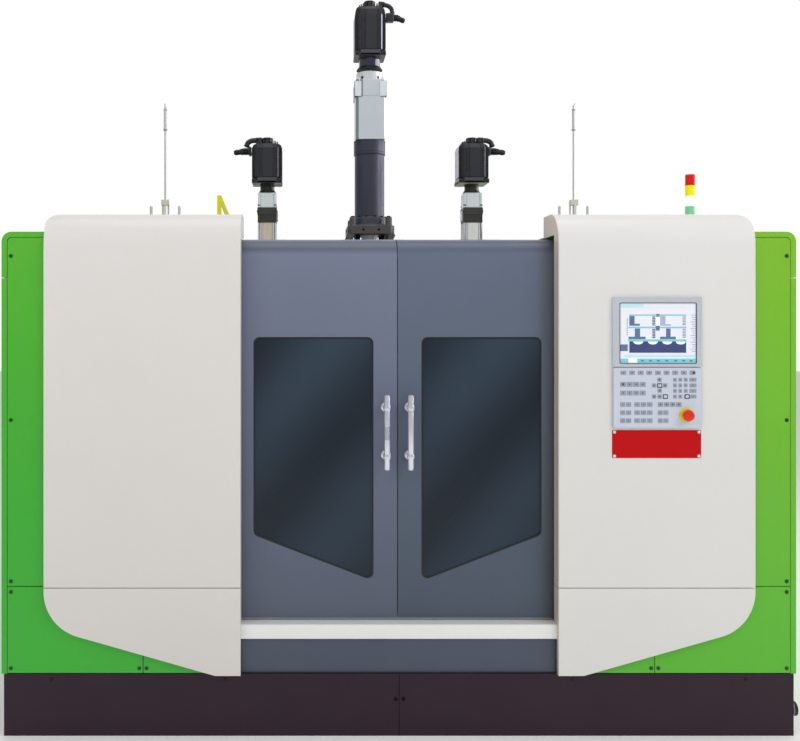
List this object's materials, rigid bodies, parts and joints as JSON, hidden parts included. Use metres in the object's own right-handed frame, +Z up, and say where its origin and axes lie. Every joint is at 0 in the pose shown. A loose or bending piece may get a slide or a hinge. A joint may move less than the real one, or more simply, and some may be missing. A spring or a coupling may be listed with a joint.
{
  "type": "blow moulding machine",
  "caption": "Blow moulding machine: cream and green cabinet with sliding doors on a dark plinth, operator panel, signal tower and vertical servo drives above the roof.",
  "frame": {"origin": "on the floor below the middle of the row of vertical drives", "axes": "+X to the viewer's right, +Y from the doors to the rear, +Z up"},
  "size_m": [3.224, 3.189, 3.492],
  "materials": {
    "plinth_paint": "brown-black paint",
    "frame_paint": "light grey paint, lifting lug yellow",
    "bed_paint": "grey paint on the bed, ground rails",
    "cream_cover": "cream powder coat, semi-gloss",
    "green_panel": "green powder coat, semi-gloss",
    "kick_paint": "blue-grey powder coat",
    "track_steel": "ground steel",
    "panel_bezel": "silver anodised",
    "screen": "lit display",
    "keypad": "membrane foil, yellow collar",
    "red_sign": "red, bare",
    "signal_foot": "grey",
    "lens_green": "pale green translucent",
    "lens_clear": "clear",
    "lens_yellow": "yellow translucent",
    "lens_red": "red translucent",
    "dark_casting": "dark blue-grey, glossy",
    "silver_housing": "silver",
    "motor_paint": "charcoal paint",
    "stack_metal": "silver profile with a dark block",
    "stand_steel": "bright steel",
    "door_paint": "blue-grey powder coat, semi-gloss",
    "window": "dark tinted safety glass",
    "handle": "satin stainless steel",
    "stop_red": "red",
    "carriage_paint": "grey paint",
    "clamp_steel": "ground steel",
    "gear_steel": "hardened steel",
    "platform_paint": "grey paint",
    "head_steel": "heat-toned steel",
    "barrel_metal": "heater bands and stainless hopper",
    "drive_paint": "blue-grey machine paint"
  },
  "bodies": {
    "machine": {"plinth": "plinth_paint", "main_frame": "frame_paint", "machine_bed": "bed_paint", "left_front_cover": "cream_cover", "right_front_cover": "cream_cover", "left_front_cover_lower": "cream_cover", "right_front_cover_lower": "cream_cover", "left_panel_upper": "green_panel", "right_panel_upper": "green_panel", "left_panel_lower": "green_panel", "right_panel_lower": "green_panel", "left_side_cover": "green_panel", "right_side_cover": "green_panel", "left_roof_cover": "green_panel", "right_roof_cover": "green_panel", "rear_cover": "green_panel", "sill_beam": "cream_cover", "kick_panel": "kick_paint", "door_tracks": "track_steel", "hmi_housing": "panel_bezel", "hmi_screen": "screen", "keypad_panel": "keypad", "red_plate": "red_sign", "signal_base": "signal_foot", "signal_green": "lens_green", "signal_clear": "lens_clear", "signal_yellow": "lens_yellow", "signal_red": "lens_red", "lift_cylinder": "dark_casting", "lift_gear_housing": "silver_housing", "lift_servo": "motor_paint", "left_blow_cylinder": "stack_metal", "right_blow_cylinder": "stack_metal", "left_blow_servo": "motor_paint", "right_blow_servo": "motor_paint", "left_trim_unit": "stand_steel", "right_trim_unit": "stand_steel"},
    "left_door": {"left_door_panel": "door_paint", "left_door_window": "window", "left_door_handle": "handle"},
    "right_door": {"right_door_panel": "door_paint", "right_door_window": "window", "right_door_handle": "handle"},
    "stop_head": {"estop_button": "stop_red"},
    "left_shuttle": {"left_carriage": "carriage_paint"},
    "right_shuttle": {"right_carriage": "carriage_paint"},
    "left_frame": {"left_clamp_frame": "clamp_steel"},
    "right_frame": {"right_clamp_frame": "clamp_steel"},
    "left_moving_platen": {"left_platen": "clamp_steel"},
    "right_moving_platen": {"right_platen": "clamp_steel"},
    "left_gear": {"left_pinion": "gear_steel"},
    "right_gear": {"right_pinion": "gear_steel"},
    "left_blow": {"left_blow_head": "stand_steel"},
    "right_blow": {"right_blow_head": "stand_steel"},
    "left_trim": {"left_trim_head": "stand_steel"},
    "right_trim": {"right_trim_head": "stand_steel"},
    "extruder": {"extruder_platform": "platform_paint", "die_head": "head_steel", "extruder_barrel": "barrel_metal", "extruder_drive": "drive_paint"}
  },
  "joints": [
    {"name": "left_door_slide", "type": "slide", "parent": "machine", "child": "left_door", "axis": [-1, 0, 0], "range_m": [0, 0.56]},
    {"name": "right_door_slide", "type": "slide", "parent": "machine", "child": "right_door", "axis": [1, 0, 0], "range_m": [0, 0.56]},
    {"name": "estop_press", "type": "slide", "parent": "machine", "child": "stop_head", "axis": [0, 1, 0], "range_m": [0, 0.005], "stiffness_N_per_m": 800, "springref_m": -0.002},
    {"name": "left_shuttle_slide", "type": "slide", "parent": "machine", "child": "left_shuttle", "axis": [1, 0, 0], "range_m": [0, 0.58]},
    {"name": "right_shuttle_slide", "type": "slide", "parent": "machine", "child": "right_shuttle", "axis": [1, 0, 0], "range_m": [0, 0.58]},
    {"name": "left_clamp_open", "type": "slide", "parent": "left_shuttle", "child": "left_moving_platen", "axis": [-1, 0, 0], "range_m": [0, 0.09]},
    {"name": "left_frame_open", "type": "slide", "parent": "left_shuttle", "child": "left_frame", "axis": [1, 0, 0], "range_m": [0, 0.09]},
    {"name": "left_pinion_turn", "type": "hinge", "parent": "left_shuttle", "child": "left_gear", "pos_m": [-0.58, -0.2425, 0.85], "axis": [0, -1, 0], "range_deg": [0, 129]},
    {"name": "right_clamp_open", "type": "slide", "parent": "right_shuttle", "child": "right_moving_platen", "axis": [1, 0, 0], "range_m": [0, 0.09]},
    {"name": "right_frame_open", "type": "slide", "parent": "right_shuttle", "child": "right_frame", "axis": [-1, 0, 0], "range_m": [0, 0.09]},
    {"name": "right_pinion_turn", "type": "hinge", "parent": "right_shuttle", "child": "right_gear", "pos_m": [0, -0.2425, 0.85], "axis": [0, 1, 0], "range_deg": [0, 129]},
    {"name": "left_blow_down", "type": "slide", "parent": "machine", "child": "left_blow", "axis": [0, 0, -1], "range_m": [0, 0.2]},
    {"name": "left_trim_down", "type": "slide", "parent": "machine", "child": "left_trim", "axis": [0, 0, -1], "range_m": [0, 0.15]},
    {"name": "right_blow_down", "type": "slide", "parent": "machine", "child": "right_blow", "axis": [0, 0, -1], "range_m": [0, 0.2]},
    {"name": "right_trim_down", "type": "slide", "parent": "machine", "child": "right_trim", "axis": [0, 0, -1], "range_m": [0, 0.15]},
    {"name": "extruder_lift", "type": "slide", "parent": "machine", "child": "extruder", "axis": [0, 0, 1], "range_m": [0, 0.08]}
  ],
  "couplings": [
    {"joint": "right_shuttle_slide", "follows": "left_shuttle_slide", "ratio": 1},
    {"joint": "left_frame_open", "follows": "left_clamp_open", "ratio": 1},
    {"joint": "left_pinion_turn", "follows": "left_clamp_open", "rad_per_m": 25},
    {"joint": "right_frame_open", "follows": "right_clamp_open", "ratio": 1},
    {"joint": "right_pinion_turn", "follows": "right_clamp_open", "rad_per_m": 25}
  ]
}
